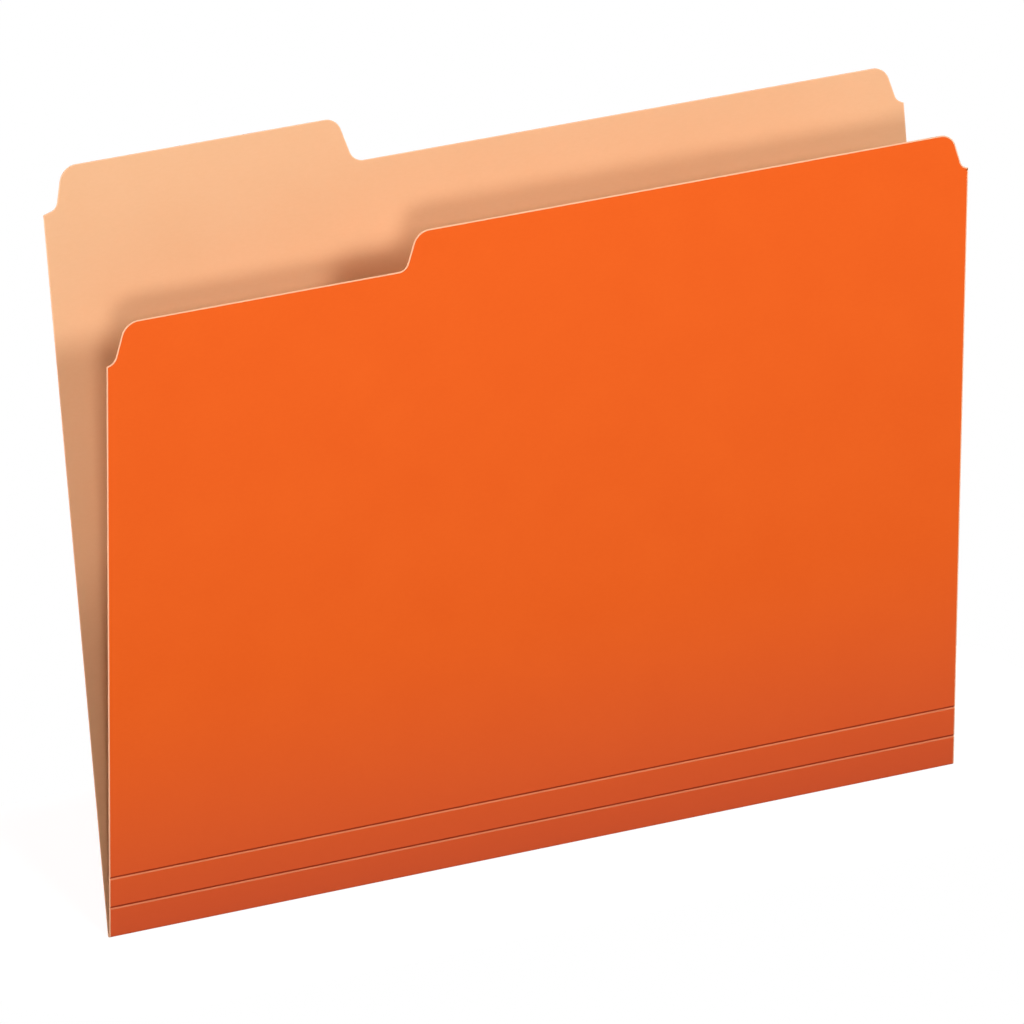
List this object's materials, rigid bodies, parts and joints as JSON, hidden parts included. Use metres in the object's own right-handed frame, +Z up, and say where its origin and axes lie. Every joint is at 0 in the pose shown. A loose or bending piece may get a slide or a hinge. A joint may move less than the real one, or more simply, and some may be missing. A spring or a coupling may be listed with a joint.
{
  "type": "file folder",
  "caption": "Letter-size paperboard file folder with a left-hand index tab, scored for expansion, standing slightly open.",
  "frame": {"origin": "centre of the bounding box at the underside of the bottom fold", "axes": "+X along the bottom fold, towards the end away from the tab; +Y from the front panel towards the rear panel; +Z up"},
  "size_m": [0.2952, 0.0478, 0.2367],
  "materials": {
    "orange_board": "matte two-tone board, orange outside",
    "peach_board": "matte two-tone board, pale peach inside"
  },
  "bodies": {
    "rear": {"rear_panel": "peach_board"},
    "fold": {"bottom_fold": "orange_board"},
    "lower_strip": {"lower_expansion_strip": "orange_board", "lower_score": "orange_board"},
    "upper_strip": {"upper_expansion_strip": "orange_board", "upper_score": "orange_board"},
    "front": {"front_panel": "orange_board"}
  },
  "joints": [
    {"name": "fold_opening", "type": "hinge", "parent": "rear", "child": "fold", "pos_m": [0, -0.02326, 0.00064], "axis": [1, 0, 0], "range_deg": [-11.15, 168.85], "deforming": ["bottom_fold"]},
    {"name": "lower_strip_swing", "type": "hinge", "parent": "fold", "child": "lower_strip", "pos_m": [0, -0.02376, 0.00064], "axis": [1, 0, 0], "range_deg": [0, 90]},
    {"name": "lower_score_bend", "type": "hinge", "parent": "lower_strip", "child": "upper_strip", "pos_m": [0, -0.02376, 0.01], "axis": [1, 0, 0], "range_deg": [-45, 0]},
    {"name": "upper_score_bend", "type": "hinge", "parent": "upper_strip", "child": "front", "pos_m": [0, -0.02376, 0.02], "axis": [1, 0, 0], "range_deg": [-45, 0]}
  ],
  "couplings": [
    {"joint": "lower_strip_swing", "follows": "upper_score_bend", "ratio": -2},
    {"joint": "lower_score_bend", "follows": "upper_score_bend", "ratio": 1}
  ]
}
